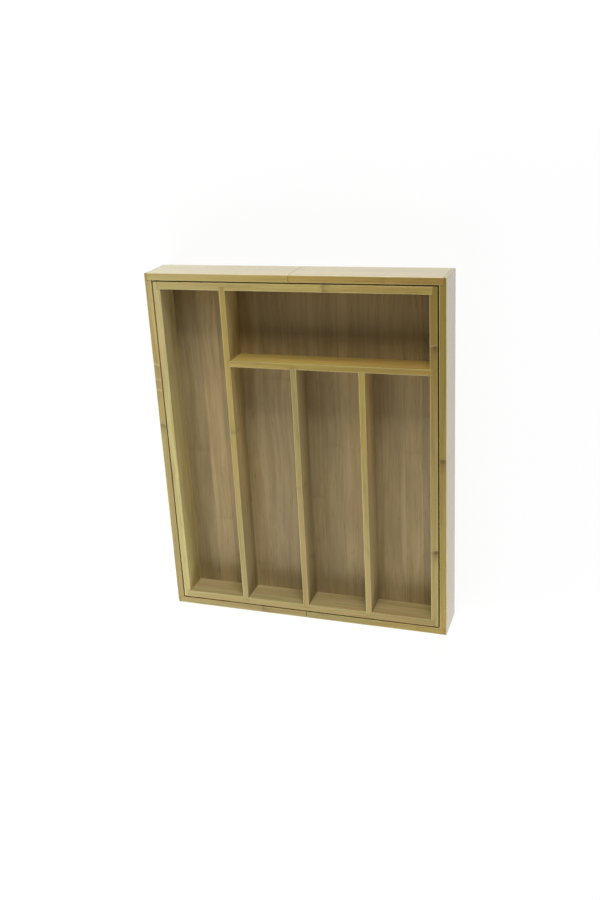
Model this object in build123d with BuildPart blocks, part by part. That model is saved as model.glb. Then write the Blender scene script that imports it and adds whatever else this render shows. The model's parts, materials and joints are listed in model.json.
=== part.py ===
from build123d import *
import os

# An expanding cutlery tray of bamboo boards, drawn closed and lying flat.
# An inner tray with five compartments lies between two U-shaped wings, which
# meet in the middle of the front and the back and slide apart along X. The
# edges of the inner tray's floor run in grooves in the wings' rails, each wing's
# own floor slides under it, and two pins on each wing stop it at its full width.
# +X is the width, +Y points to the back, +Z is up, and the origin is the centre
# of the closed tray's underside. All sizes are in millimetres.

# Over everything, with both wings pushed in
closed_width = 288.0
length = 352.0
height = 42.0

# Thickness of each kind of board
wing_board = 6.8
wall_board = 7.0
divider_board = 5.8
tray_floor_board = 5.0
wing_floor_board = 4.0

# The inner tray between the wings
wing_to_wall_gap = 1.4
wing_seam = 0.4
wing_travel = 80.0
groove_depth = 3.0
running_clearance = 0.3
wing_floor_rise = 2.0
space_between_floors = 2.9

# Compartments: four equal columns, with a cross compartment over three of them
upper_compartment_depth = 67.5
column_count = 4

# Glued joints: rebated corners, and dividers housed in the boards they meet
wing_corner_lip = 2.5
wall_corner_lip = 4.0
wall_housing = 3.0
divider_housing = 2.0
glue_line = 0.05
cut_overrun = 5.0

# Stop pins
pin_diameter = 4.0
pin_inset = 12.0
pin_spacing = 240.0
pin_slot_depth = 3.0
pin_tip_clearance = 0.6
pin_tip_chamfer = 0.4

# Eased edges
rim_round = 0.6
corner_round = 1.0
small_round = 0.4
seam_round = 0.4
tongue_chamfer = 0.4

# Faces of the wings and of the inner tray, measured from the centre
half_width = closed_width / 2
half_length = length / 2
seam_face_x = wing_seam / 2
wing_inner_x = half_width - wing_board
wing_inner_y = half_length - wing_board
wall_outer_x = wing_inner_x - wing_to_wall_gap
wall_outer_y = wing_inner_y - wing_to_wall_gap
wall_inner_x = wall_outer_x - wall_board
wall_inner_y = wall_outer_y - wall_board
rail_end_x = half_width - wing_corner_lip - glue_line
end_wall_end_x = wall_outer_x - wall_corner_lip - glue_line
wing_floor_end_x = wing_inner_x + groove_depth - glue_line
wing_floor_end_y = wing_inner_y + groove_depth - glue_line
tongue_end_y = wing_inner_y + groove_depth - running_clearance

# Levels
wing_floor_top = wing_floor_rise + wing_floor_board
tray_floor_bottom = wing_floor_top + space_between_floors
tray_floor_top = tray_floor_bottom + tray_floor_board
wall_height = height - tray_floor_top

# Dividers: their centre lines, the faces of the cross divider, and their ends
column_width = (2 * wall_inner_x - (column_count - 1) * divider_board) / column_count
column_pitch = column_width + divider_board
long_divider_x = divider_board / 2 + column_width - wall_inner_x
middle_divider_x = long_divider_x + column_pitch
right_divider_x = middle_divider_x + column_pitch
cross_divider_back = wall_inner_y - upper_compartment_depth
cross_divider_front = cross_divider_back - divider_board
cross_divider_y = (cross_divider_back + cross_divider_front) / 2
housing_width = divider_board + 2 * glue_line
housed_end_y = wall_inner_y + wall_housing - glue_line
housed_end_x = wall_inner_x + wall_housing - glue_line
long_divider_face = long_divider_x + divider_board / 2
cross_divider_start = long_divider_face - divider_housing + glue_line
short_divider_back = cross_divider_front + divider_housing - glue_line

# Stop pins: where they stand with the wings in, and how high they reach
pin_rest_x = seam_face_x + pin_inset
pin_top = tray_floor_bottom + pin_slot_depth - pin_tip_clearance
pin_slot_width = pin_diameter + 2 * running_clearance

wing_sides = {"left": -1, "right": 1}
tray_ends = {"back": 1, "front": -1}


def save(piece, name):
    """Labels a finished piece and writes it to a file of its own name."""
    piece.part.label = name
    export_step(piece.part, f"parts/{name}.step")


def turn_to(side, end):
    """Mirrors a piece drawn at the right and the back to its own side and end."""
    if wing_sides.get(side, 1) < 0:
        mirror(about=Plane.YZ, mode=Mode.REPLACE)
    if tray_ends.get(end, 1) < 0:
        mirror(about=Plane.XZ, mode=Mode.REPLACE)


def groove(inner_face, bottom, board, clearance):
    """Ploughs a groove for a board's edge into the section that is being drawn."""
    with Locations((inner_face, bottom - clearance)):
        Rectangle(
            groove_depth,
            board + 2 * clearance,
            align=(Align.MIN, Align.MIN),
            mode=Mode.SUBTRACT,
        )


def upright_board(section_plane, centre, thickness, board_length):
    """A board on the tray's floor, with the edges of its rim eased."""
    with BuildSketch(section_plane) as section:
        with Locations((centre, tray_floor_top)):
            Rectangle(thickness, wall_height, align=(Align.CENTER, Align.MIN))
        fillet(section.vertices().group_by(Axis.Y)[-1], small_round)
    extrude(section.sketch, amount=board_length)


def housing(centre, width, depth):
    """Cuts a housing, as deep as a board is high, for another board's end."""
    with BuildSketch(Plane.XY.offset(tray_floor_top)) as cut:
        with Locations(centre):
            Rectangle(width, depth)
    extrude(cut.sketch, amount=wall_height, mode=Mode.SUBTRACT)


def corner_rebates(face_x, face_y, lip_face_x, board, low):
    """Cuts back both ends of a side board, so that a lip covers the end board's end."""
    rebate_width = lip_face_x - face_x + cut_overrun
    rebate_length = board + cut_overrun
    with BuildSketch(Plane.XY.offset(low)) as cuts:
        with Locations((lip_face_x, face_y)):
            Rectangle(rebate_width, rebate_length, align=(Align.MAX, Align.MIN))
        mirror(about=Plane.XZ)
    extrude(cuts.sketch, amount=height, mode=Mode.SUBTRACT)


os.makedirs("parts", exist_ok=True)

# The wings

for side in wing_sides:
    for end in tray_ends:
        # Rail: half of the frame's front or back, from the seam to the corner's lip.
        # The lower groove holds the wing's floor, and the tray's floor runs in the upper.
        with BuildPart() as wing_rail:
            with BuildSketch(Plane.YZ.offset(seam_face_x)) as section:
                with Locations((wing_inner_y, 0)):
                    Rectangle(wing_board, height, align=(Align.MIN, Align.MIN))
                fillet(section.vertices().group_by(Axis.Y)[0], small_round)
                fillet(section.vertices().group_by(Axis.Y)[-1].sort_by(Axis.X)[0], small_round)
                fillet(section.vertices().group_by(Axis.Y)[-1].sort_by(Axis.X)[-1], rim_round)
                groove(wing_inner_y, wing_floor_rise, wing_floor_board, glue_line)
                groove(wing_inner_y, tray_floor_bottom, tray_floor_board, running_clearance)
            extrude(amount=rail_end_x - seam_face_x)
            seam_rim = wing_rail.faces().sort_by(Axis.X)[0].edges().sort_by(Axis.Z)[-1]
            fillet(seam_rim, seam_round)
            turn_to(side, end)
        save(wing_rail, f"{side}_wing_{end}_rail")

    # Side: the closed end of the U, rebated at its corners for the two rails.
    with BuildPart() as wing_side:
        with BuildSketch(Plane.XZ) as section:
            with Locations((wing_inner_x, 0)):
                Rectangle(wing_board, height, align=(Align.MIN, Align.MIN))
            groove(wing_inner_x, wing_floor_rise, wing_floor_board, glue_line)
        extrude(amount=half_length, both=True)
        lip_face_x = half_width - wing_corner_lip
        corner_rebates(wing_inner_x, wing_inner_y - glue_line, lip_face_x, wing_board, 0)
        fillet(wing_side.edges().filter_by(Axis.Z).group_by(Axis.X)[-1], corner_round)
        rim = wing_side.edges().filter_by(Axis.Y).group_by(Axis.Z)[-1].sort_by(Axis.X)
        fillet(rim[-1], rim_round)
        rim = wing_side.edges().filter_by(Axis.Y).group_by(Axis.Z)[-1].sort_by(Axis.X)
        fillet(rim[0], small_round)
        underside = wing_side.edges().filter_by(Axis.Y).group_by(Axis.Z)[0].sort_by(Axis.X)
        fillet(underside[-1], small_round)
        turn_to(side, "back")
    save(wing_side, f"{side}_wing_side")

    # Floor: let into the grooves of the side and of both rails, with holes for the pins.
    with BuildPart() as wing_floor:
        with BuildSketch(Plane.XY.offset(wing_floor_rise)):
            with Locations((seam_face_x, 0)):
                Rectangle(
                    wing_floor_end_x - seam_face_x,
                    2 * wing_floor_end_y,
                    align=(Align.MIN, Align.CENTER),
                )
            with Locations((pin_rest_x, pin_spacing / 2), (pin_rest_x, -pin_spacing / 2)):
                Circle(pin_diameter / 2 + glue_line, mode=Mode.SUBTRACT)
        extrude(amount=wing_floor_board)
        turn_to(side, "back")
    save(wing_floor, f"{side}_wing_floor")

    # Stop pins: pushed up through the wing's floor into the slots of the tray's floor.
    with BuildPart() as stop_pins:
        with BuildSketch(Plane.XY.offset(wing_floor_rise)):
            with Locations((pin_rest_x, pin_spacing / 2), (pin_rest_x, -pin_spacing / 2)):
                Circle(pin_diameter / 2)
        extrude(amount=pin_top - wing_floor_rise)
        chamfer(stop_pins.edges().group_by(Axis.Z)[-1], pin_tip_chamfer)
        turn_to(side, "back")
    save(stop_pins, f"{side}_stop_pins")

# The inner tray

# Floor: its front and back edges are the tongues, and its underside has the pins' slots.
with BuildPart() as tray_floor:
    with BuildSketch(Plane.XY.offset(tray_floor_bottom)):
        Rectangle(2 * wall_outer_x, 2 * tongue_end_y)
    extrude(amount=tray_floor_board)
    chamfer(tray_floor.edges().filter_by(Axis.X), tongue_chamfer)
    with BuildSketch(Plane.XY.offset(tray_floor_bottom)):
        with GridLocations(2 * pin_rest_x + wing_travel, pin_spacing, 2, 2):
            SlotCenterToCenter(wing_travel, pin_slot_width)
    extrude(amount=pin_slot_depth, mode=Mode.SUBTRACT)
save(tray_floor, "tray_floor")

# Side walls: rebated for the end walls; the right one also houses the cross divider.
for side in wing_sides:
    with BuildPart() as side_wall:
        upright_board(
            Plane.XZ.offset(-wall_outer_y),
            wall_inner_x + wall_board / 2,
            wall_board,
            2 * wall_outer_y,
        )
        lip_face_x = wall_outer_x - wall_corner_lip
        corner_rebates(
            wall_inner_x, wall_inner_y - glue_line, lip_face_x, wall_board, tray_floor_top
        )
        fillet(side_wall.edges().filter_by(Axis.Z).group_by(Axis.X)[-1], small_round)
        if side == "right":
            housing(
                (wall_inner_x, cross_divider_y),
                2 * wall_housing,
                housing_width,
            )
        turn_to(side, "back")
    save(side_wall, f"{side}_wall")

# End walls: between the lips of the side walls, with a housing for each divider they meet.
housed_dividers = {
    "back": [long_divider_x],
    "front": [long_divider_x, middle_divider_x, right_divider_x],
}
for end, divider_places in housed_dividers.items():
    with BuildPart() as end_wall:
        upright_board(
            Plane.YZ.offset(-end_wall_end_x),
            wall_inner_y + wall_board / 2,
            wall_board,
            2 * end_wall_end_x,
        )
        for place in divider_places:
            housing((place, wall_inner_y), housing_width, 2 * wall_housing)
        turn_to("right", end)
    save(end_wall, f"{end}_wall")

# Long divider: from wall to wall, with a housing for the cross divider.
with BuildPart() as long_divider:
    upright_board(Plane.XZ.offset(-housed_end_y), long_divider_x, divider_board, 2 * housed_end_y)
    housing((long_divider_face, cross_divider_y), 2 * divider_housing, housing_width)
save(long_divider, "long_divider")

# Cross divider: from the long divider to the right wall, housing the two short dividers.
with BuildPart() as cross_divider:
    upright_board(
        Plane.YZ.offset(cross_divider_start),
        cross_divider_y,
        divider_board,
        housed_end_x - cross_divider_start,
    )
    for place in (middle_divider_x, right_divider_x):
        housing((place, cross_divider_front), housing_width, 2 * divider_housing)
save(cross_divider, "cross_divider")

# Short dividers: from the cross divider to the front wall.
short_dividers = {"middle_divider": middle_divider_x, "right_divider": right_divider_x}
for name, place in short_dividers.items():
    with BuildPart() as short_divider:
        upright_board(
            Plane.XZ.offset(-short_divider_back),
            place,
            divider_board,
            short_divider_back + housed_end_y,
        )
    save(short_divider, name)
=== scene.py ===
# %% [markdown]
# # An expanding cutlery tray in bamboo
#
# An inner tray of thin bamboo boards on edge holds five compartments, and two U-shaped
# wings close round it and slide apart to widen it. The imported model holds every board
# at its real size and place, so this lesson only makes them look like planed and
# lacquered bamboo: eased edges, glue lines, strips, fibres and knuckles.

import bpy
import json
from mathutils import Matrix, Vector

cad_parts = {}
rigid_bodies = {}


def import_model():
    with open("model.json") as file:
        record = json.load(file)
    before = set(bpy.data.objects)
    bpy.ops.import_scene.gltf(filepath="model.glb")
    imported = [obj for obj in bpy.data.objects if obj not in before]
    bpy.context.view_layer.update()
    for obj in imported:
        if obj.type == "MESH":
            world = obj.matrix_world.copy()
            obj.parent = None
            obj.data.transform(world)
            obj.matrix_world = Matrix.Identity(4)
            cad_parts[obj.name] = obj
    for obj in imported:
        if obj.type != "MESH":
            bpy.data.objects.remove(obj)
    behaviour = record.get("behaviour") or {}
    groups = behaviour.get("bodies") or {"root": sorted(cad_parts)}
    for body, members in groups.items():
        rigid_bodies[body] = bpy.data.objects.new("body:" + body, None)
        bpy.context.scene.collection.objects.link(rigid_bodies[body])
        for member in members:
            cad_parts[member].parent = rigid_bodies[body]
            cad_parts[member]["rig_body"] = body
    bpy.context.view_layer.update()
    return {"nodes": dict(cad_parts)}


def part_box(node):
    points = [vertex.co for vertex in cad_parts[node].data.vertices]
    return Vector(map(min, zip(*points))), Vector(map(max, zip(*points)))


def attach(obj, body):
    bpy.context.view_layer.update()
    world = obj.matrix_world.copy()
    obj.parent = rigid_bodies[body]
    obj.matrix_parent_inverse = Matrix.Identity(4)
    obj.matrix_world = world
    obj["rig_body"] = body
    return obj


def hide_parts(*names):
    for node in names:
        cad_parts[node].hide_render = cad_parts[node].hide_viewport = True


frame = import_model()
print("The packed model has", len(frame["nodes"]), "pieces")

# %% [markdown]
# ## The pieces and their sizes
#
# Lengths are in metres, with X across the tray, Y towards its back and Z up. Sizes
# could be written down here once more, but then two files would have to agree. So they
# are read from the boxes of the nodes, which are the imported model's pieces.

# %% Measure the pieces
import json
import math

import bmesh
import bpy
import numpy as np
from mathutils import Matrix, Vector

mm = 0.001
X, Y, Z = 0, 1, 2


def box(node):
    """The node's lowest and highest corner, as the two rows of an array, in metres."""
    return np.array([list(corner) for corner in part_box(node)])


def runs_along(node):
    """The axis that a board runs along, X or Y, and the one across it."""
    low, high = box(node)
    return (X, Y) if high[X] - low[X] > high[Y] - low[Y] else (Y, X)


for node in sorted(frame["nodes"]):
    low, high = box(node) / mm
    print(f"{node}: {np.round(high - low, 2)} mm, from {np.round(low, 2)}")

# %% [markdown]
# ## The camera
#
# The picture looks down on the tray from beyond its back right corner. A camera can be
# aimed by a constraint at a target. Here its place and its two directions were worked
# out from the tray's own straight edges, so they are set directly.

# %% Set up the camera
camera_place = Vector((0.3069, 0.3530, 0.8918))
looks_along = Vector((-0.3149, -0.3571, -0.8794)).normalized()
roughly_up = Vector((-0.0682, 0.9326, -0.3543))
focal_length = 40.42
film_width = 36.0

rightward = looks_along.cross(roughly_up).normalized()
upward = rightward.cross(looks_along)
turn = Matrix((rightward, upward, -looks_along)).transposed()

camera = bpy.data.objects.new("camera", bpy.data.cameras.new("camera"))
camera.matrix_world = Matrix.Translation(camera_place) @ turn.to_4x4()
camera.data.lens = focal_length
camera.data.sensor_width = film_width
bpy.context.scene.collection.objects.link(camera)
bpy.context.scene.camera = camera
print("The camera stands", round(camera_place.length, 3), "m from the tray's centre")

# %% [markdown]
# ## Building materials from nodes
#
# Every finish is a small network of nodes. Linking them by hand takes many lines that
# hide the idea, so one helper adds a node with its inputs, one does arithmetic and one
# mixes colours. Colours are written as on a screen, from 0 to 255, and turned into the
# linear light that Blender works with.

# %% Helpers for nodes and colours


def linear(*screen_colour):
    """A screen colour as linear light: a straight foot, then the power 2.4."""
    share = np.array(screen_colour) / 255
    light = np.where(share <= 0.04045, share / 12.92, ((share + 0.055) / 1.055) ** 2.4)
    return (*light.tolist(), 1.0)


def add(tree, kind, inputs=None, **settings):
    """Adds a shader node, and sets or links its inputs, named or numbered."""
    node = tree.nodes.new("ShaderNode" + kind)
    for setting, value in settings.items():
        setattr(node, setting, value)
    for key, value in (inputs or {}).items():
        if isinstance(value, bpy.types.NodeSocket):
            tree.links.new(value, node.inputs[key])
        else:
            node.inputs[key].default_value = value
    return node


def calc(tree, operation, *values):
    """The result of a Math node."""
    return add(tree, "Math", dict(enumerate(values)), operation=operation).outputs[0]


def blend(tree, share, below, above, how="MIX"):
    """Mixes two colours: `share` of the one above over the one below.

    A Mix node's sockets for colours are 0, the share, and 6 and 7, and its result is 2.
    """
    inputs = {0: share, 6: below, 7: above}
    return add(tree, "Mix", inputs, data_type="RGBA", blend_type=how).outputs[2]


def new_material(name):
    """An empty node material: the material, its tree and its output node."""
    material = bpy.data.materials.new(name)
    material.use_nodes = True
    tree = material.node_tree
    tree.nodes.clear()
    return material, tree, tree.nodes.new("ShaderNodeOutputMaterial")


print("A straw colour in linear light:", np.round(linear(176, 161, 108), 2))

# %% [markdown]
# ## White surroundings
#
# The tray stands alone on white. Lamps that made the floor white would bleach the wood
# too. Instead the Light Path node tells the camera's rays apart: they, and those of a
# reflection, see a floor and a sky of nearly full white, while the wood is lit at a
# plain level. About an eighth of what the camera sees of the floor is still paint under
# the lamps, which keeps the tray's soft shadow.

# %% Lay the floor
floor_half_width = 4.0
floor_drop = 0.1 * mm
floor_paint = (0.8, 0.8, 0.8, 1.0)
floor_glow = 1.05
floor_glow_share = 0.88


def seen_rays(tree):
    """1 for rays from the camera, or by way of a reflection or through glass, else 0."""
    path = add(tree, "LightPath").outputs
    first = calc(tree, "MAXIMUM", path["Is Camera Ray"], path["Is Glossy Ray"])
    return calc(tree, "MAXIMUM", first, path["Is Transmission Ray"])


turns = ((-1, -1), (1, -1), (1, 1), (-1, 1))
corners = [(x * floor_half_width, y * floor_half_width, -floor_drop) for x, y in turns]
floor_mesh = bpy.data.meshes.new("floor")
floor_mesh.from_pydata(corners, [], [(0, 1, 2, 3)])
floor = bpy.data.objects.new("floor", floor_mesh)
bpy.context.scene.collection.objects.link(floor)

floor_material, tree, output = new_material("white_floor")
paint = add(tree, "BsdfDiffuse", {"Color": floor_paint})
glow = add(tree, "Emission", {"Strength": floor_glow})
glow_share = calc(tree, "MULTIPLY", seen_rays(tree), floor_glow_share)
mixed = add(tree, "MixShader", {0: glow_share, 1: paint.outputs[0], 2: glow.outputs[0]})
tree.links.new(mixed.outputs[0], output.inputs["Surface"])
floor_mesh.materials.append(floor_material)
print("The floor lies", floor_drop / mm, "mm below the tray")

# %% Set the sky
sky_light = 0.12
sky_seen = 1.0
sky_white = (1.0, 1.0, 1.0, 1.0)

sky = bpy.data.worlds.new("sky")
sky.use_nodes = True
tree = sky.node_tree
background = tree.nodes["Background"]
background.inputs["Color"].default_value = sky_white
strength = calc(tree, "MULTIPLY_ADD", seen_rays(tree), sky_seen - sky_light, sky_light)
tree.links.new(strength, background.inputs["Strength"])
bpy.context.scene.world = sky
bpy.context.scene.view_settings.view_transform = "Standard"
print("The sky lights the wood at", sky_light, "and is seen at", sky_seen)

# %% [markdown]
# ## Soft lamps
#
# Each column's floor is dark beside its left divider and bright at its right, so the
# strongest lamp stands low at the left. The next stands low at the back, and leaves the
# floor under the back wall in shade. A higher one at the front and a weak one at the
# right soften both shadows. Sun lamps would draw hard edges, so each is a large area
# lamp.

# %% Place the lamps
lamps = {
    "back_lamp": {"around": 83, "above": 19, "away": 1.6, "size": 0.6, "level": 0.69},
    "left_lamp": {"around": 208, "above": 15, "away": 1.25, "size": 0.6, "level": 0.88},
    "front_lamp": {"around": 247, "above": 33, "away": 1.2, "size": 0.8, "level": 0.51},
    "right_lamp": {"around": 325, "above": 18, "away": 1.6, "size": 0.7, "level": 0.30},
}


def soft_lamp(name, around, above, away, size, level):
    """A square lamp facing the tray; a white card square to it renders at `level`.

    It stands `around` degrees from +X towards +Y, and `above` degrees up. The card in
    light of strength E sends back E / pi, and a flat lamp of power P, as far away as
    `away`, gives E = P / (pi * away squared). So P = level * pi^2 * away^2.
    """
    turned = math.radians(around)
    raised = math.radians(above)
    flat = math.cos(raised)
    toward = Vector((math.cos(turned) * flat, math.sin(turned) * flat, math.sin(raised)))
    lamp = bpy.data.objects.new(name, bpy.data.lights.new(name, "AREA"))
    lamp.data.size = size
    lamp.data.energy = level * math.pi**2 * away**2
    lamp.visible_camera = False
    facing = toward.to_track_quat("Z", "Y").to_matrix().to_4x4()
    lamp.matrix_world = Matrix.Translation(toward * away) @ facing
    bpy.context.scene.collection.objects.link(lamp)
    return lamp


for name, settings in lamps.items():
    lamp = soft_lamp(name, **settings)
    print(name, "has", round(lamp.data.energy, 1), "W")

# %% [markdown]
# ## A board as a swept section
#
# A board could be a cube with a Bevel modifier, but that makes every edge as even as
# plastic, and hand-eased edges wander. So a board is a section, the outline of its cut
# end, worked out anew at many stations along it: its round corners grow and shrink, and
# its inner face steps back where a neighbour is let in. A point of an outline has two
# measures, the depth in from the board's inner face and the height.

# %% Round a corner of the outline
arc_steps = 6
# The band beyond each arc over which its wear and painted highlight fade out
worn_band = 0.35 * mm
RIGHT, LEFT = np.array([1.0, 0.0]), np.array([-1.0, 0.0])
UP, DOWN = np.array([0.0, 1.0]), np.array([0.0, -1.0])


def eased_corner(corner, arriving, leaving, radius):
    """A corner as a quarter circle, one row of points for each station.

    The point at turn t is corner - arriving * r * (1 - sin t) + leaving * r * (1 - cos t),
    from t = 0 to a quarter turn. One more point on each side, a band's width further out,
    ends the mark that the arc carries, and the second result is that mark: wear, and a
    painted highlight along the edge.
    """
    t = np.linspace(0, math.pi / 2, arc_steps)
    flat = np.zeros_like(radius)
    before = np.column_stack([radius + worn_band, np.outer(radius, 1 - np.sin(t)), flat])
    after = np.column_stack([flat, np.outer(radius, 1 - np.cos(t)), radius + worn_band])
    points = corner - arriving * before[..., None] + leaving * after[..., None]
    return points, np.pad(np.ones(arc_steps), 1)


points, worn = eased_corner(np.zeros(2), RIGHT, UP, np.ones(1) * mm)
print("A corner has", points.shape[1], "points")

# %% [markdown]
# ### Edges that wander
#
# A hand-held sanding block takes a little more here and less there. A few sine waves
# of unlike length and start, added up, give such a wandering line. They are cheaper
# than a noise texture, and the same seed always gives the same board.

# %% Let a radius wander along the board
wander_share = 0.22
wave_lengths = np.array([190.0, 83.0, 37.0]) * mm


def wandering(radius, along, rng):
    """radius * (1 + wander_share * the mean of sines of the wave lengths), by station."""
    start = rng.uniform(0, 2 * math.pi, len(wave_lengths))
    waves = np.sin(2 * math.pi * along[:, None] / wave_lengths + start)
    return radius * (1 + wander_share * waves.mean(axis=1))


rng = np.random.default_rng(3)
print("A wandering 1 mm:", np.round(wandering(1.0, np.linspace(0, 0.3, 7), rng), 2))

# %% [markdown]
# ### The outline, all the way round
#
# The outline starts at the foot of the inner face and goes round by the outer face and
# the rim. Only eased corners get arcs, and the floors' grooves are plain steps. Two more
# points on the rim mark where a neighbour's end would stop, for a thin glue line there.

# %% Walk round the outline
glue_line_width = 0.45 * mm


def outline(thickness, foot, rim, radii, grooves, neighbour_depth):
    """The outline at every station, as (station, point, (depth, height)), and its wear and
    painted highlight.

    radii holds a row of radii, by station, for each corner that was eased. grooves are
    (low, high, depth), the upper first.
    """
    stations = len(radii["outer_rim"])
    walk = [
        ("inner_foot", (0.0, foot), DOWN, RIGHT),
        ("outer_foot", (thickness, foot), RIGHT, UP),
        ("outer_rim", (thickness, rim), UP, LEFT),
        ("rim_mark", (neighbour_depth + glue_line_width, rim), None, None),
        ("rim_mark", (neighbour_depth, rim), None, None),
        ("inner_rim", (0.0, rim), LEFT, DOWN),
    ]
    for low, high, depth in grooves:
        for place in ((0.0, high), (depth, high), (depth, low), (0.0, low)):
            walk.append(("groove", place, None, None))
    parts = []
    for name, corner, arriving, leaving in walk:
        if name in radii:
            parts.append(eased_corner(corner, arriving, leaving, radii[name]))
        else:
            parts.append((np.broadcast_to(corner, (stations, 1, 2)), np.zeros(1)))
    points, worn = zip(*parts)
    return np.concatenate(points, axis=1), np.concatenate(worn)


radii = {"outer_rim": np.full(2, 1 * mm)}
points, worn = outline(6 * mm, 0.0, 40 * mm, radii, [(9 * mm, 14 * mm, 3 * mm)], 2 * mm)
print("A grooved outline has", points.shape[1], "points at each station")

# %% [markdown]
# ### Stations along the board
#
# Long plain stretches need few stations. They crowd only at the ends and beside each
# neighbour that is let in, where the section changes at once. There the last station
# of one stretch and the first of the next share a place, and the face between them is
# the shoulder of the joint.

# %% Choose the stations
station_step = 4 * mm
crowded = np.array([0.0, 0.05, 0.12, 0.25, 0.45, 0.9, 1.5, 2.4]) * mm


def stretch(start, end):
    """Stations from start to end, crowded at both ends and station_step apart between."""
    spaced = np.arange(start, end, station_step)
    places = np.concatenate([start + crowded, end - crowded, spaced, [end]])
    places = places[(places >= start) & (places <= end)]
    return np.unique(np.round(places, 8))


def stations_of(start, end, let_in):
    """Station places and, for each, how deep a neighbour is let in there."""
    spans = []
    reached = start
    for low, high, depth in sorted(let_in):
        spans += [(reached, low, 0.0), (max(low, start), min(high, end), depth)]
        reached = min(high, end)
    spans.append((reached, end, 0.0))
    parts = [(stretch(low, high), depth) for low, high, depth in spans if high > low]
    depths = [np.full(len(places), depth) for places, depth in parts]
    return np.concatenate([places for places, _ in parts]), np.concatenate(depths)


places, depths = stations_of(0.0, 0.1, [(0.04, 0.046, 3 * mm)])
print("A board of 100 mm with one housing has", len(places), "stations")

# %% [markdown]
# ### From outlines to a mesh
#
# Four-sided faces join the outlines ring to ring, and a cap closes each end. Where the
# section steps, some points of two rings share a place, so doubles are merged, faces
# that shrank to nothing are dissolved, and the normals are turned outwards last.

# %% Skin the outlines
sharp_beyond = math.radians(28)
merge_distance = 0.002 * mm


def skin(name, points, attributes):
    """A closed mesh through rings of points, with one float attribute for each name.

    The face at (ring, point) joins it to the next point and to the next ring's two.
    """
    rings, count = points.shape[:2]
    index = np.arange(rings * count).reshape(rings, count)
    onward = np.roll(index, -1, axis=1)
    faces = np.stack([index[:-1], onward[:-1], onward[1:], index[1:]], axis=-1).reshape(-1, 4)
    caps = [index[0, ::-1].tolist(), index[-1].tolist()]
    mesh = bpy.data.meshes.new(name)
    mesh.from_pydata(points.reshape(-1, 3).tolist(), [], faces.tolist() + caps)
    for key, values in attributes.items():
        layer = mesh.attributes.new(key, "FLOAT", "POINT")
        layer.data.foreach_set("value", values.astype(np.float32).ravel())
    work = bmesh.new()
    work.from_mesh(mesh)
    bmesh.ops.remove_doubles(work, verts=work.verts, dist=merge_distance)
    bmesh.ops.dissolve_degenerate(work, edges=work.edges, dist=merge_distance)
    bmesh.ops.recalc_face_normals(work, faces=work.faces)
    work.to_mesh(mesh)
    work.free()
    mesh.shade_smooth()
    mesh.set_sharp_from_angle(angle=sharp_beyond)
    return mesh


print("Edges sharper than", round(math.degrees(sharp_beyond)), "degrees stay sharp")

# %% [markdown]
# ### What is let into a board
#
# A board has housings for its neighbours' ends, rebates at the corners and grooves for
# the floors. A Boolean modifier could cut them, but leaves ragged faces. So each is a
# room in the inner face, worked out from the box of what sits in it. `glue` is the room
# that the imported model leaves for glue, and `play` is what the sliding floor needs.

# %% Measure the rooms in a board
glue = 0.05 * mm
play = 0.3 * mm


def inner_face(node, faces):
    """Where a board's inner face lies, across it. faces is the way it looks, +1 or -1."""
    low, high = box(node)
    across = runs_along(node)[1]
    return high[across] if faces > 0 else low[across]


def room_for(guest, node, faces, axis, spare):
    """The room for a guest in a board: from and to along an axis, and how deep.

    It is `spare` larger than the guest at both ends and beyond its far side.
    """
    other = box(guest)
    across = runs_along(node)[1]
    far_side = other[0, across] if faces > 0 else other[1, across]
    depth = abs(far_side - inner_face(node, faces)) + spare
    return other[0, axis] - spare, other[1, axis] + spare, depth


housing = room_for("long_divider", "front_wall", 1, X, glue)
print("The long divider sits", round(housing[2] / mm, 2), "mm deep in the front wall")

# %% [markdown]
# ### Round corners and eased ends
#
# The frame's four outer upright corners are round, and every cut end is eased, free
# ones more than glued ones. A bevel would have to be told which edges these are. Here
# each outline near an end is drawn in by as much as a circle stands back there.

# %% Shape the ends of a board
end_rounds = {"glued": 0.12 * mm, "free": 0.4 * mm}


def rounded_off(distance, radius):
    """How far a round corner stands back, `distance` along from its end: the circle."""
    reach = np.clip(radius - distance, 0, radius)
    return radius - np.sqrt(radius**2 - reach**2)


def shaped(section, step, size, from_ends, ends, corner):
    """The outlines' depths and heights, after the rooms, the corners and the ends.

    No depth is less than `step`, and what is beyond it narrows towards an end as the
    corner's circle does. Then all goes towards the section's middle by the end's inset.
    """
    thickness, foot, rim = size
    depth, height = section[..., 0], section[..., 1]
    width = thickness - step
    narrowed = 1.0
    if corner:
        narrowed = 1 - rounded_off(np.minimum(*from_ends), corner)[:, None] / width
    depth = step + (np.maximum(depth, step) - step) * narrowed
    width = width * narrowed

    insets = [rounded_off(distance, end_rounds[end]) for distance, end in zip(from_ends, ends)]
    inset = np.maximum(*insets)[:, None]
    middle = step + width / 2
    depth = middle + (depth - middle) * (1 - inset / (width / 2))
    half_height = (rim - foot) / 2
    centre = (rim + foot) / 2
    height = centre + (height - centre) * (1 - inset / half_height)
    return depth, height


print("A free end is drawn in by", rounded_off(0.0, end_rounds["free"]) / mm, "mm")

# %% [markdown]
# ### Marks for the finish and the painted light
#
# Glue shows beside a joint, wear and a painted highlight on an eased edge, and lacquer
# and a painted sheen on the outside. Sides that only look into the gap between tray and
# wings were left raw. Masks could be painted, but not fourteen times alike. So the mesh
# carries them, as shares from 0 to 1 at each point.

# %% Mark the joints and the sides
rim_round = 0.6 * mm
face_begins = 0.7 * mm


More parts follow.
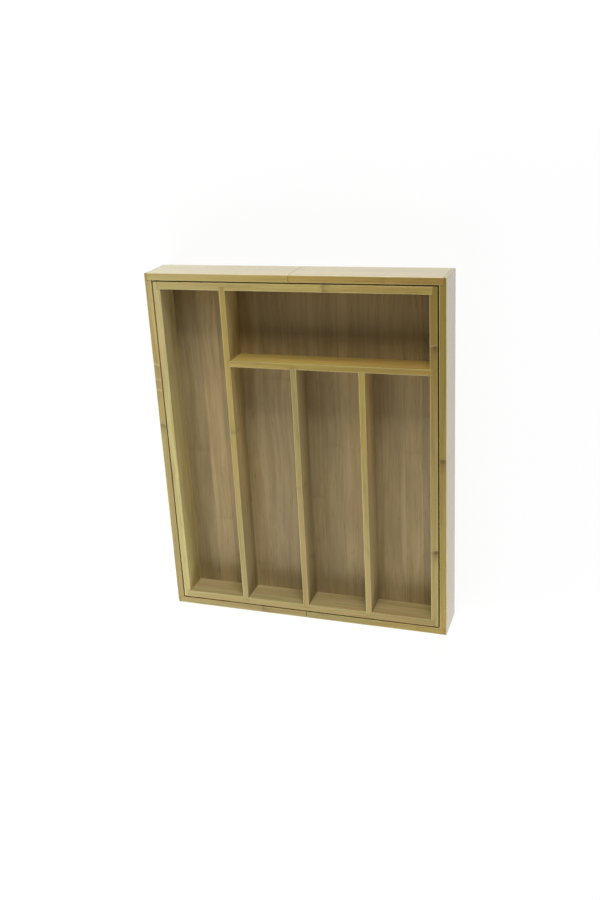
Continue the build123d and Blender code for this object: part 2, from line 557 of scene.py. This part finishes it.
def glue_marks(section, step, place, rooms, glued_ends):
    """1 in a joint, and falling to 0 within glue_line_width beside it."""
    depth = section[..., 0]
    glued = np.zeros_like(depth)
    for start, stop, room_depth in rooms:
        from_joint = np.minimum(abs(place - start), abs(place - stop))[:, None]
        close = np.clip(1 - from_joint / glue_line_width, 0, 1)
        glued = np.maximum(glued, close * (depth <= room_depth + merge_distance))
    glued = np.where((step > 0) & (depth <= step + merge_distance), 1, glued)
    for end_place in glued_ends:
        close = np.clip(1 - abs(place - end_place) / glue_line_width, 0, 1)[:, None]
        glued = np.maximum(glued, close)
    return glued


def side_marks(node, section, size, to_end, corner):
    """The outside, the faces below the rim, and the raw sides, the ones in the gap.

    These are the wings' inner and the walls' outer sides. The cut ends of a board with
    round corners are outside too.
    """
    thickness, _, rim = size
    outside = np.clip((section[..., 0] - (thickness - rim_round)) / rim_round, 0, 1)
    if corner:
        outside = np.maximum(outside, np.clip(1 - to_end / rim_round, 0, 1)[:, None])
    below_rim = np.clip((rim - section[..., 1]) / face_begins, 0, 1)
    in_gap = 0.0
    if "wing" in node:
        in_gap = 1 - outside
    elif "wall" in node:
        in_gap = outside
    raw = below_rim * in_gap
    return {"outside": outside, "face": below_rim - raw, "raw": raw}


print("The faces begin", face_begins / mm, "mm below the rim")

# %% [markdown]
# ## One function for all fourteen boards
#
# Rails, sides, walls and dividers differ only in their size, in what is let into them
# and in which edges are eased. Copies of one mesh couldn't show that. So one function
# makes each anew: its own box gives its place and length, and its neighbours' boxes
# give its rooms, so every joint fits without a number being written twice.

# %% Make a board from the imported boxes


def make_board(node, faces, ends, eased, let_in=(), held=(), corner=0.0, seed=0):
    """A board in the place of a CAD node, with the marks for its finish and its painted light
    and shade.

    faces is the side that its inner face looks to, +1 or -1. ends says whether its two
    cut ends are glued or free, and eased gives the radii of its long edges. let_in names
    neighbours, held gives floors in grooves with their spare room, the upper first, and
    corner is the roundness of its outer upright edges.
    """
    low, high = box(node)
    along, across = runs_along(node)
    start, stop = low[along], high[along]
    rooms = [room_for(guest, node, faces, along, glue) for guest in let_in]
    grooves = [room_for(guest, node, faces, Z, spare) for guest, spare in held]
    place, stepped_in = stations_of(start, stop, rooms)
    step = stepped_in[:, None]

    rng = np.random.default_rng(seed)
    radii = {key: wandering(radius, place, rng) for key, radius in eased.items()}
    size = (high[across] - low[across], low[Z], high[Z])
    neighbour_depth = max([depth for *_, depth in rooms], default=size[0] / 2)
    section, worn = outline(*size, radii, grooves, neighbour_depth)
    from_ends = (place - start, stop - place)
    depth, height = shaped(section, step, size, from_ends, ends, corner)

    points = np.empty((*depth.shape, 3))
    points[..., along] = place[:, None]
    points[..., across] = inner_face(node, faces) - faces * depth
    points[..., Z] = height
    glued_ends = [at for end, at in zip(ends, (start, stop)) if end == "glued"]
    attributes = {
        # Eased edges: wear, and a painted highlight
        "worn": np.where(section[..., 0] < step - merge_distance, 0, worn),
        "glued": glue_marks(section, step, place, rooms, glued_ends),
        **side_marks(node, section, size, np.minimum(*from_ends), corner),
    }
    mesh = skin(node + "_board", points, attributes)
    board = bpy.data.objects.new(node + "_board", mesh)
    bpy.context.scene.collection.objects.link(board)
    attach(board, frame["nodes"][node]["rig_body"])
    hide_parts(node)
    print(f"{board.name}: {len(mesh.vertices)} points, {len(mesh.polygons)} faces")
    return board


# %% [markdown]
# ## The wings
#
# Each wing is a U of three boards. Its rails meet the other wing's in the middle of the
# front and the back, and have two grooves inside: the wing's own floor is glued in the
# lower, and the inner tray's floor slides in the upper. At the corners the side board's
# lip covers the rail's end. A Mirror modifier would copy the wandering edges too, so
# each wing is made on its own.

# %% Make the wings' boards
small_round = 0.4 * mm
corner_round = 1.0 * mm
rail_seeds = 10
side_seeds = 20
side_edges = {"outer_foot": small_round, "outer_rim": rim_round, "inner_rim": small_round}
rail_edges = {"inner_foot": small_round, **side_edges}
wings = {"left": (1, ("glued", "free")), "right": (-1, ("free", "glued"))}
boards = {}

for number, (wing, (side_faces, rail_ends)) in enumerate(wings.items()):
    wing_floor = f"{wing}_wing_floor"
    rails = {f"{wing}_wing_back_rail": -1, f"{wing}_wing_front_rail": 1}
    for name, faces in rails.items():
        held = [("tray_floor", play), (wing_floor, glue)]
        seed = rail_seeds + 2 * number + (faces > 0)
        boards[name] = make_board(name, faces, rail_ends, rail_edges, held=held, seed=seed)
    name = f"{wing}_wing_side"
    boards[name] = make_board(
        name,
        side_faces,
        ("free", "free"),
        side_edges,
        let_in=list(rails),
        held=[(wing_floor, glue)],
        corner=corner_round,
        seed=side_seeds + number,
    )

# %% [markdown]
# ## The inner tray's walls and dividers
#
# The side walls' lips cover the end walls' ends in the same way, and each divider is
# housed a few millimetres deep in the boards that it meets. Only the rims are eased.
# Eight calls could make them, but a list is easier to check. It says of each board
# which way its inner face looks and what is let into it.

# %% Make the walls and the dividers
wall_seeds = 30
rim_edges = {"outer_rim": small_round, "inner_rim": small_round}
walls = {
    "left_wall": (1, ["back_wall", "front_wall"]),
    "right_wall": (-1, ["back_wall", "front_wall", "cross_divider"]),
    "back_wall": (-1, ["long_divider"]),
    "front_wall": (1, ["long_divider", "middle_divider", "right_divider"]),
    "long_divider": (1, ["cross_divider"]),
    "cross_divider": (-1, ["middle_divider", "right_divider"]),
    "middle_divider": (1, []),
    "right_divider": (1, []),
}
for number, (name, (faces, neighbours)) in enumerate(walls.items()):
    ends = ("free", "free") if name in ("left_wall", "right_wall") else ("glued", "glued")
    seed = wall_seeds + number
    boards[name] = make_board(name, faces, ends, rim_edges, let_in=neighbours, seed=seed)

# %% [markdown]
# ## Bamboo for the boards
#
# Bamboo boards are glued up from strips of the cane's wall. Broad bands, streaks, fine
# fibres and short dark bundles of fibre run with the grain, the tone drifts slowly, and
# knuckles cross a strip where the cane had its joints. An image would do it too, but a
# procedural pattern in Object coordinates runs through the whole board, so cut ends
# show the fibres as dots.

# %% Noise for each layer
stretched = {
    "drift": (9.0, 45.0, 45.0),
    "streaks": (7.0, 430.0, 430.0),
    "fibres": (20.0, 1300.0, 1300.0),
    "bundles": (45.0, 900.0, 900.0),
    "wobble": (0.0, 130.0, 130.0),
    "broad": (3.0, 130.0, 110.0),
    "hue": (2.5, 210.0, 150.0),
    "swerve": (9.0, 30.0, 30.0),
    "breaks": (0.0, 130.0, 130.0),
}
own_seed = {kind: number for number, kind in enumerate(stretched)}
swerve_reach = 9 * mm


def grain_noise(tree, along_grain, kind, seed, detail=2.0, result=0):
    """Noise stretched along the grain, in cells a metre: along, across and upwards.

    Result 0 is one value, about 0.5 on average, and result 1 is three unlike ones.
    """
    inputs = {"Vector": along_grain, "Scale": stretched[kind]}
    squeezed = add(tree, "Mapping", inputs, vector_type="POINT").outputs[0]
    inputs = {"Vector": squeezed, "W": seed + own_seed[kind], "Scale": 1.0, "Detail": detail}
    return add(tree, "TexNoise", inputs, noise_dimensions="4D").outputs[result]


def swerving(tree, grain, seed):
    """The grain's coordinates led a little astray across, because no fibre is straight."""
    aside = grain_noise(tree, grain, "swerve", seed, detail=0.0, result=1)
    inputs = {0: aside, 1: (0.0, swerve_reach, swerve_reach), 2: grain}
    return add(tree, "VectorMath", inputs, operation="MULTIPLY_ADD").outputs[0]


def between(tree, value, low, high, to_low=0.0, to_high=1.0):
    """Takes low..high smoothly to to_low..to_high, and stops at both ends."""
    inputs = {0: value, 1: low, 2: high, 3: to_low, 4: to_high}
    return add(tree, "MapRange", inputs, interpolation_type="SMOOTHSTEP").outputs[0]


def tinted(tree, colour, light):
    """The colour times a grey `light`, which may be over 1."""
    return add(tree, "VectorMath", {0: colour, "Scale": light}, operation="SCALE").outputs[0]


print("Streaks are about", round(1000 / stretched["streaks"][1], 1), "mm wide")

# %% [markdown]
# ### Knuckles
#
# A knuckle is a wavering thin line: a pale thread, a dark one beside it, and a brown
# shade that fades to one side. Noise can't put one where it is wanted, so each is
# placed. The distance along the grain from its place, plus a little wobble, goes through
# a colour ramp that holds this profile, brown in its red channel and pale in its green.

# %% Draw one knuckle
knuckle_before = 4 * mm
knuckle_after = 16 * mm
knuckle_wobble = 8 * mm
knuckle_profile = [
    (0.0, (0.0, 0.0)),
    (0.12, (0.15, 0.0)),
    (0.16, (0.3, 1.0)),
    (0.2, (1.0, 0.35)),
    (0.3, (0.95, 0.0)),
    (0.38, (0.6, 0.0)),
    (0.6, (0.3, 0.0)),
    (1.0, (0.0, 0.0)),
]


def knuckle(tree, along, wobble, place, fades):
    """One knuckle's brown and pale marks; `fades` is +1 or -1, the way its shade goes."""
    shifted = calc(tree, "MULTIPLY_ADD", wobble, knuckle_wobble, -place - knuckle_wobble / 2)
    past = calc(tree, "MULTIPLY", calc(tree, "ADD", along, shifted), float(fades))
    inputs = {0: past, 1: -knuckle_before, 2: knuckle_after, 3: 0.0, 4: 1.0}
    node = add(tree, "ValToRGB", {0: add(tree, "MapRange", inputs).outputs[0]})
    stops = node.color_ramp.elements
    while len(stops) < len(knuckle_profile):
        stops.new(1.0)
    for stop, (position, (brown, pale)) in zip(stops, knuckle_profile):
        stop.position = position
        stop.color = (brown, pale, 0.0, 1.0)
    split = add(tree, "SeparateColor", {0: node.outputs[0]})
    return split.outputs[0], split.outputs[1]


def all_knuckles(tree, along, grain, knuckles, seed):
    """The marks of several knuckles, given as (place, way it fades, dark, thread)."""
    wobble = grain_noise(tree, grain, "wobble", seed)
    brown = pale = 0.0
    for place, fades, dark, thread in knuckles:
        one_brown, one_pale = knuckle(tree, along, wobble, place, fades)
        brown = calc(tree, "MAXIMUM", brown, calc(tree, "MULTIPLY", one_brown, dark))
        pale = calc(tree, "MAXIMUM", pale, calc(tree, "MULTIPLY", one_pale, thread))
    return brown, pale


print("A knuckle's shade fades over", round(knuckle_after / mm), "mm")

# %% [markdown]
# ### The colours of the cane
#
# Young cane gives pale straw and old cane a deeper gold, and one board often goes from
# one to the other. So a board has a shade at each end, and the layers of noise multiply
# it by tints. A finished picture could be coloured afterwards, but only a material's own
# colours go with the model into other scenes.

# %% Name the shades
shades = {
    "cream": linear(196, 184, 134),
    "pale": linear(188, 174, 120),
    "straw": linear(176, 161, 108),
    "gold": linear(172, 152, 88),
    "dull": linear(160, 145, 94),
    "amber": linear(156, 134, 72),
    "ripe": linear(140, 117, 60),
    "brown": linear(112, 82, 42),
    "bone": linear(230, 218, 166),
    "knot": linear(98, 72, 34),
    "glue": linear(80, 58, 26),
}
no_tint = (1.0, 1.0, 1.0, 1.0)
dark_tint = (0.83, 0.78, 0.65, 1.0)
light_tint = (1.13, 1.13, 1.10, 1.0)
ruddy_tint = (1.05, 0.955, 0.92, 1.0)
olive_tint = (0.985, 1.02, 0.91, 1.0)
bundle_tint = (0.82, 0.76, 0.64, 1.0)
print(len(shades), "shades")

# %% Lay the tints over a shade
tone_shares = {"fibres": 0.25, "streaks": 0.35, "broad": 0.4}
tone_range = (0.35, 0.65)
hue_range = (0.38, 0.62)
bundle_range = (0.56, 0.74)
bundle_relief = 0.6
drift_range = (0.3, 0.7)
drift_light = (0.95, 1.08)


def wood_tones(tree, colour, straight_grain, seed, contrast=1.0, colourful=1.0):
    """A base colour, times the tints of its streaks, its hue and its dark bundles.

    The tone is a weighted mean of three noises, from broad bands to fine fibres.
    `contrast` and `colourful` are how much of the tones and of the hues shows. The
    other results are the relief, the fibres less the bundles, and the fibres.
    """
    grain = swerving(tree, straight_grain, seed)
    noise = {kind: grain_noise(tree, grain, kind, seed) for kind in tone_shares}
    tone = 0.0
    for kind, share in tone_shares.items():
        tone = calc(tree, "MULTIPLY_ADD", noise[kind], share, tone)
    tones = blend(tree, between(tree, tone, *tone_range), dark_tint, light_tint)
    colour = blend(tree, contrast, colour, tones, "MULTIPLY")
    hue = between(tree, grain_noise(tree, grain, "hue", seed), *hue_range)
    hues = blend(tree, hue, ruddy_tint, olive_tint)
    colour = blend(tree, colourful, colour, hues, "MULTIPLY")
    bundles = between(tree, grain_noise(tree, grain, "bundles", seed), *bundle_range)
    colour = blend(tree, 1.0, colour, blend(tree, bundles, no_tint, bundle_tint), "MULTIPLY")
    slow = grain_noise(tree, grain, "drift", seed, detail=1.0)
    colour = tinted(tree, colour, between(tree, slow, *drift_range, *drift_light))
    relief = calc(tree, "MULTIPLY_ADD", bundles, -bundle_relief, noise["fibres"])
    return colour, relief, noise["fibres"]


print("The broad bands make up", tone_shares["broad"], "of the tone")

# %% [markdown]
# ### The lacquer
#
# The lacquer's satin sheen is weak where one looks down on it, and strong along the
# outer faces, where it lies thickest and mirrors the white table. One glossy shader for
# all would make the rims look wet. So the base has a low specular level, and the mesh
# says where the outer faces add a coat. Raw sides have hardly any sheen.

# %% Finish a material with lacquer
matt_specular = 0.25
satin_fibres = (0.3, 0.7)
satin_roughness = (0.45, 0.6)
coat_roughness = 0.22
coat_index = 1.5
raw_roughness = 0.95
relief_depth = 0.05 * mm
relief_strength = 0.3


def lacquered(tree, output, colour, relief, fibres, coat=0.0, raw=0.0):
    """The shader that ends each bamboo material; `coat` and `raw` are shares."""
    satin = between(tree, fibres, *satin_fibres, *satin_roughness)
    roughness = calc(tree, "MAXIMUM", satin, calc(tree, "MULTIPLY", raw, raw_roughness))
    inputs = {"Height": relief, "Strength": relief_strength, "Distance": relief_depth}
    inputs = {
        "Base Color": colour,
        "Roughness": roughness,
        "Normal": add(tree, "Bump", inputs).outputs[0],
        "Specular IOR Level": matt_specular,
        "Coat Weight": coat,
        "Coat Roughness": coat_roughness,
        "Coat IOR": coat_index,
    }
    surface = add(tree, "BsdfPrincipled", inputs)
    tree.links.new(surface.outputs[0], output.inputs["Surface"])


print("The coat's index is", coat_index)

# %% [markdown]
# ### A board's own coordinates
#
# The pattern has to lie along each board, but Object coordinates start at the tray's
# centre. An empty could carry a board's own, but would have to stay with it. So nodes
# centre and turn them: X along the board from its middle, Y across it and Z up from its
# foot. A board is two strips high, with a faint glue line between them. The lower one
# reads the same pattern from further along, so that their knuckles don't line up.

# %% Lay out a board's coordinates
strip_shift = 0.083
strip_glue = 0.16 * mm
lower_strip_light = 0.94


def own_coordinates(tree, name):
    """The board's own X, Y and Z, and where its middle lies along it in the tray."""
    low, high = box(name)
    along = runs_along(name)[0]
    turned = 0.0 if along == X else -math.pi / 2
    centre = (*((low + high) / 2).tolist()[:2], float(low[Z]))
    coordinates = add(tree, "TexCoord").outputs["Object"]
    centred = add(tree, "VectorMath", {0: coordinates, 1: centre}, operation="SUBTRACT")
    local = add(tree, "Mapping", {0: centred.outputs[0], "Rotation": (0, 0, turned)})
    return add(tree, "SeparateXYZ", {0: local.outputs[0]}).outputs, centre[along]


def two_strips(tree, own, height):
    """Which strip, 1 for the upper and 0 for the lower, and the glue line between them.

    The third result is X, read strip_shift further along in the lower strip.
    """
    strip_height = height / 2
    strips = calc(tree, "DIVIDE", own["Z"], strip_height)
    upper = calc(tree, "GREATER_THAN", strips, 1.0)
    from_glue = calc(tree, "ABSOLUTE", calc(tree, "SUBTRACT", strips, 1.0))
    glue_line = between(tree, from_glue, 0.0, strip_glue / strip_height, 1.0, 0.0)
    shift = calc(tree, "MULTIPLY_ADD", upper, -strip_shift, strip_shift)
    return upper, glue_line, calc(tree, "ADD", own["X"], shift)


print("The lower strip is read", round(strip_shift / mm), "mm further along")

# %% [markdown]
# ### Rims, faces and raw sides
#
# A rim is a strip's sawn side and yellower. Most faces below it are painted greyer, and
# the raw sides in the gap warmer, for the colour of the shade that they lie in. Separate
# materials would meet in a hard line, so each is a tint that fades in by the mesh's
# marks. A face has a tint for its low end and one for its high end.

# %% Tint the sides of a board
# Painted shade: the raw sides in the gap are tinted warmer, as the shade there looks
painted_gap_shade_tint = (1.12, 1.05, 0.84, 1.0)
# Painted shade: faces below the rim are tinted greyer, and the dividers' faces more so
painted_face_shade_tint = (1.0, 1.02, 1.35, 1.0)
painted_divider_shade_tint = (1.03, 1.06, 1.6, 1.0)
painted_shades_by_board = {
    # Painted light and shade: the left wall's face is lighter at its front end and darker at
    # its back
    "left_wall": ((1.09, 1.12, 1.26, 1.0), (0.71, 0.73, 0.82, 1.0)),
    "long_divider": (painted_divider_shade_tint, painted_divider_shade_tint),
    "middle_divider": (painted_divider_shade_tint, painted_divider_shade_tint),
    "right_divider": (painted_divider_shade_tint, painted_divider_shade_tint),
    "cross_divider": (no_tint, no_tint),
}


def marked(tree, key):
    """A share that the mesh carries at each point."""
    return add(tree, "Attribute", attribute_name=key).outputs["Fac"]


def side_tinted(tree, name, colour, share):
    """The colour with the painted shade tints of its faces and raw sides; `share` is 1 at the
    high end.
    """
    tint = blend(tree, share, *painted_shades_by_board.get(name, (painted_face_shade_tint, painted_face_shade_tint)))
    colour = blend(tree, marked(tree, "face"), colour, tint, "MULTIPLY")
    return blend(tree, marked(tree, "raw"), colour, painted_gap_shade_tint, "MULTIPLY")


print(len(painted_shades_by_board), "boards have face tints of their own")

# %% [markdown]
# ### Knuckles, joints and wear
#
# These lie over the wood's pattern. A knuckle's dark line is broken here and there, and
# its pale thread is plain only on the rim. Eased edges are paler, partly worn and partly
# a painted highlight, and glue shows as a thin dark line, on the wings' rims most. Their
# outer faces carry more lacquer and are painted paler, a painted sheen. Decals could
# draw such lines, but each would have to be placed.

# %% Lay knuckles, glue and wear over the wood
break_range = (0.35, 0.6)
broken_shows = (0.4, 1.0)
thread_shows = (0.8, 0.25)
wall_glue_shows = 0.35
wing_glue_shows = (0.6, 0.2)
# Paler eased edges, on a rim and on a wing's outer edge: wear and a painted highlight
wear_and_highlight_levels = (0.3, 0.9)
# Painted sheen: how far a wing's outer face is blended towards cream
painted_sheen_share = 0.42


def painted(tree, colour, shade, mask, shows):
    """The colour with a shade laid over it where the mask is 1, as much as `shows`."""
    return blend(tree, calc(tree, "MULTIPLY", mask, shows), colour, shades[shade])


def with_knuckles(tree, colour, grain, along, knuckles, seed):
    """The colour with its knuckles and threads, and how brown the knuckles are."""
    brown, pale = all_knuckles(tree, along, grain, knuckles, seed)
    breaks = grain_noise(tree, grain, "breaks", seed)
    broken = between(tree, breaks, *break_range, *broken_shows)
    colour = painted(tree, colour, "knot", brown, broken)
    below_rim = calc(tree, "ADD", marked(tree, "face"), marked(tree, "raw"))
    thread = between(tree, below_rim, 0.0, 1.0, *thread_shows)
    return painted(tree, colour, "bone", pale, thread), brown


def with_joints(tree, name, colour):
    """The colour with its glue lines, its edges' wear and painted highlight, and a wing's
    painted sheen on its outer face; and the share of the coat.

    On a wing, glue and edges go from the rim's share to the outer face's.
    """
    glue_shows, wear_and_highlight_shows, coat = wall_glue_shows, wear_and_highlight_levels[0], 0.0
    if "wing" in name:
        coat = marked(tree, "outside")
        # Painted sheen: the wings' outer faces are blended towards cream
        colour = painted(tree, colour, "cream", coat, painted_sheen_share)
        rim, outer = wing_glue_shows
        glue_shows = calc(tree, "MULTIPLY_ADD", coat, outer - rim, rim)
        rim, outer = wear_and_highlight_levels
        wear_and_highlight_shows = calc(tree, "MULTIPLY_ADD", coat, outer - rim, rim)
    colour = painted(tree, colour, "glue", marked(tree, "glued"), glue_shows)
    return painted(tree, colour, "bone", marked(tree, "worn"), wear_and_highlight_shows), coat


print("Threads show", thread_shows[0], "on a rim and", thread_shows[1], "on a face")

# %% [markdown]
# ### A board's material
#
# The layers go together, from the shade up to the lacquer. All boards could share one
# node group, but each has its own sizes, shades and knuckles, so a function builds each
# a material.

# %% Put the layers together
strip_glue_shows = 0.3
knuckle_relief = 0.5


def bamboo_board(name, low_shade, high_shade, knuckles=(), seed=0.0):
    """Bamboo for a board, from one shade at its low end to another at its high end."""
    material, tree, output = new_material(name + "_bamboo")
    own, middle = own_coordinates(tree, name)
    low, high = box(name)
    half = (high - low)[runs_along(name)[0]] / 2
    share = between(tree, own["X"], -half, half)
    colour = blend(tree, share, shades[low_shade], shades[high_shade])

    upper, glue_line, along = two_strips(tree, own, high[Z] - low[Z])
    grain = add(tree, "CombineXYZ", {"X": along, "Y": own["Y"], "Z": own["Z"]}).outputs[0]
    colour = tinted(tree, colour, between(tree, upper, 0.0, 1.0, lower_strip_light, 1.0))
    colour = side_tinted(tree, name, colour, share)
    colour, relief, fibres = wood_tones(tree, colour, grain, seed)

    placed = [(place - middle, *marks) for place, *marks in knuckles]
    colour, brown = with_knuckles(tree, colour, grain, along, placed, seed)
    colour = painted(tree, colour, "glue", glue_line, strip_glue_shows)
    colour, coat = with_joints(tree, name, colour)
    relief = calc(tree, "MULTIPLY_ADD", brown, -knuckle_relief, relief)
    lacquered(tree, output, colour, relief, fibres, coat, marked(tree, "raw"))
    return material


print("The glue between two strips shows", strip_glue_shows)

# %% [markdown]
# ### Shades and knuckles for each board
#
# A board's shades and knuckles are chance in the cane. Drawing lots would give a tray
# like this one, but not this one. So both are listed: the shade at its low and at its
# high end, and each knuckle's place along the tray, the way it fades, how dark it is
# and how plain its thread is. The left wing's side and the left wall grow paler towards
# the back: painted shade at their front ends, which the left lamp lights more.

# %% Give each board its shades and knuckles
seed_step = 7.3
left_side_knuckles = [
    (0.086, -1, 0.2, 0.8),
    (0.0705, -1, 0.15, 0.6),
    (0.06, -1, 0.15, 0.6),
    (0.025, -1, 0.6, 0.3),
]
board_looks = {
    # Painted shade: darker at the front end, where the left lamp is strongest
    "left_wing_side": ("dull", "pale", left_side_knuckles),
    "left_wing_back_rail": ("pale", "gold", []),
    "left_wing_front_rail": ("dull", "dull", [(-0.048, 1, 0.6, 0.2)]),
    "right_wing_side": ("gold", "ripe", [(0.009, -1, 0.9, 0.1)]),
    "right_wing_back_rail": ("gold", "amber", [(0.09, -1, 0.3, 0.1)]),
    "right_wing_front_rail": ("dull", "gold", [(0.112, 1, 0.3, 0.1)]),
    # Painted shade: a little darker at the front end, where the left lamp is strongest
    "left_wall": ("pale", "cream", []),
    "right_wall": ("straw", "ripe", [(0.115, -1, 1.0, 0.3), (-0.086, -1, 1.0, 0.2)]),
    "back_wall": ("pale", "gold", [(0.031, 1, 1.0, 0.2)]),
    "front_wall": ("straw", "dull", []),
    "long_divider": ("dull", "gold", [(0.02, 1, 0.3, 0.1)]),
    "cross_divider": ("gold", "amber", []),
    "middle_divider": ("dull", "dull", [(-0.03, -1, 0.3, 0.1)]),
    "right_divider": ("straw", "gold", []),
}
for number, (name, (low_shade, high_shade, knuckles)) in enumerate(board_looks.items()):
    seed = seed_step * (number + 1)
    material = bamboo_board(name, low_shade, high_shade, knuckles, seed)
    boards[name].data.materials.append(material)
print(len(board_looks), "boards have their bamboo")

# %% [markdown]
# ## The floors
#
# A floor is edge-glued from strips about 20 mm wide that run from front to back. Each
# comes from another cane, with a tone, fibres and knuckles of its own. The tone is a sum
# of steps, one at each strip's edge. A colour ramp would need fewer nodes, but holds
# only 256 steps, which would put the edges a millimetre wrong.

# %% Give each strip its tone
floor_glue_width = 0.3 * mm


def strips_tone(tree, across, edges, tones):
    """The tone of the strip that `across` lies in, and the glue lines at its edges."""
    tone = tones[0]
    lines = 0.0
    for edge, before, after in zip(edges, tones[:-1], tones[1:]):
        past = calc(tree, "GREATER_THAN", across, edge)
        tone = calc(tree, "MULTIPLY_ADD", past, after - before, tone)
        distance = calc(tree, "ABSOLUTE", calc(tree, "SUBTRACT", across, edge))
        line = between(tree, distance, 0.0, floor_glue_width, 1.0, 0.0)
        lines = calc(tree, "MAXIMUM", lines, line)
    return tone, lines


print("A floor's glue lines fade out within", round(floor_glue_width / mm, 2), "mm")

# %% Make the floors' material
floor_base = linear(174, 156, 121)
warm_strip = linear(168, 149, 99)
warm_share = 0.35
floor_contrast = 0.85
floor_hues = 0.2
floor_shortening = 1.5
floor_glue_shows = 0.28
floor_knuckle_pitch = 0.29
floor_knuckle_dark = 0.125


def bamboo_floor(name, edges, tones, seed, painted_back_shades=()):
    """Bamboo for a floor: strips along Y, with edges at X and a tone for each.

    The last argument lists painted shade that the strips beyond some X take on towards
    their back ends, as (that X, the Y where it begins, the Y where it is full, tint).
    """
    material, tree, output = new_material(name + "_bamboo")
    coordinates = add(tree, "TexCoord").outputs["Object"]
    local = add(tree, "Mapping", {0: coordinates, "Rotation": (0, 0, -math.pi / 2)})
    own = add(tree, "SeparateXYZ", {0: local.outputs[0]}).outputs
    across = add(tree, "SeparateXYZ", {0: coordinates}).outputs["X"]
    tone, lines = strips_tone(tree, across, edges, tones)
    random = add(tree, "TexWhiteNoise", {"W": tone}, noise_dimensions="1D").outputs[0]
    shifted = calc(tree, "ADD", own["X"], random)
    shortened = calc(tree, "MULTIPLY", shifted, floor_shortening)
    grain = add(tree, "CombineXYZ", {"X": shortened, "Y": own["Y"], "Z": own["Z"]}).outputs[0]
    colour = blend(tree, calc(tree, "MULTIPLY", random, warm_share), floor_base, warm_strip)
    colour = tinted(tree, colour, tone)
    # Painted shade: these strips grow darker towards their back ends
    for past_x, begins, full, tint in painted_back_shades:
        near_back = between(tree, own["X"], begins, full)
        share = calc(tree, "MULTIPLY", near_back, calc(tree, "GREATER_THAN", across, past_x))
        colour = blend(tree, share, colour, tint, "MULTIPLY")
    colour, relief, fibres = wood_tones(tree, colour, grain, seed, floor_contrast, floor_hues)

    # One faint knuckle in each strip's length
    turns = calc(tree, "DIVIDE", shifted, floor_knuckle_pitch)
    along = calc(tree, "MULTIPLY", calc(tree, "FRACT", turns), floor_knuckle_pitch)
    knuckles = [(floor_knuckle_pitch / 2, 1, floor_knuckle_dark, 0.0)]
    brown, _ = all_knuckles(tree, along, grain, knuckles, seed)
    colour = blend(tree, brown, colour, shades["brown"])
    colour = painted(tree, colour, "glue", lines, floor_glue_shows)
    lacquered(tree, output, colour, relief, fibres)
    return material


def dress(name, material):
    """Gives a CAD node's object a material in all its slots."""
    node_object = bpy.data.objects[name]
    if not node_object.material_slots:
        node_object.data.materials.append(material)
    for slot in node_object.material_slots:
        slot.material = material


print("A floor's strips have a knuckle every", round(floor_knuckle_pitch / mm), "mm")

# %% [markdown]
# ### The tray's floor
#
# Its strips show, so they are listed from left to right: the X of each glue line in
# millimetres, and a tone for each strip. Over them lies painted shade: all grow darker
# and browner towards the back end, and those right of the long divider darker still in
# the cross compartment, because shade from the lamps alone leaves that floor too pale.

# %% Dress the tray's floor
tray_seed = 3.1
tray_edges = np.array([-105, -86, -69, -42, -14, 2, 16, 36, 56, 76, 99, 116]) * mm
tray_tones = [0.93, 1.2, 0.97, 1.13, 1.01, 0.97, 1.05, 0.98, 1.07, 0.98, 1.07, 1.08, 0.87]
tray_back = float(box("tray_floor")[1, Y])
all_strips = -1.0
# Painted shade over the back of the floor, and more over the cross compartment
painted_back_shade_tint = (0.53, 0.49, 0.38, 1.0)
painted_cross_shade_tint = (0.73, 0.69, 0.59, 1.0)
painted_back_shades = [
    (all_strips, tray_back - 75 * mm, tray_back, painted_back_shade_tint),
    (-69 * mm, 78 * mm, 115 * mm, painted_cross_shade_tint),
]
material = bamboo_floor("tray_floor", tray_edges.tolist(), tray_tones, tray_seed, painted_back_shades)
dress("tray_floor", material)
print("The tray's floor has", len(tray_tones), "strips")

# %% [markdown]
# ### The wings' floors
#
# These show only when a wing is out. Their strips could be listed as well, but a seeded
# random generator draws widths and tones, and gives the same floors each time.

# %% Dress the wings' floors
wing_strip = 21 * mm
strip_spread = 2.5 * mm
wing_tones = 0.09
wing_floor_draws = 50
wing_floor_seed = 5.7
for number, side in enumerate(("left", "right")):
    name = f"{side}_wing_floor"
    low, high = box(name)
    rng = np.random.default_rng(wing_floor_draws + number)
    edges = np.arange(low[X] + wing_strip, high[X] - wing_strip / 2, wing_strip)
    edges = edges + rng.uniform(-strip_spread, strip_spread, len(edges))
    tones = 1 + rng.uniform(-wing_tones, wing_tones, len(edges) + 1)
    seed = wing_floor_seed + number
    dress(name, bamboo_floor(name, edges.tolist(), tones.tolist(), seed))
    print(f"{name}: {len(tones)} strips of about {wing_strip / mm:.0f} mm")

# %% [markdown]
# ## The stop pins
#
# The pins are turned dowels, with the grain along them. They are cut from one piece of
# cane, so one material serves all four, and they need no knuckles, because they show
# only under the open wings.

# %% Dress the pins
pin_seed = 9.9
pin_material, tree, output = new_material("pin_bamboo")
coordinates = add(tree, "TexCoord").outputs["Object"]
upright = add(tree, "Mapping", {0: coordinates, "Rotation": (0, math.pi / 2, 0)}).outputs[0]
colour, relief, fibres = wood_tones(tree, shades["straw"], upright, pin_seed)
lacquered(tree, output, colour, relief, fibres)
for side in ("left", "right"):
    dress(f"{side}_stop_pins", pin_material)
print("The pins have their grain upright")
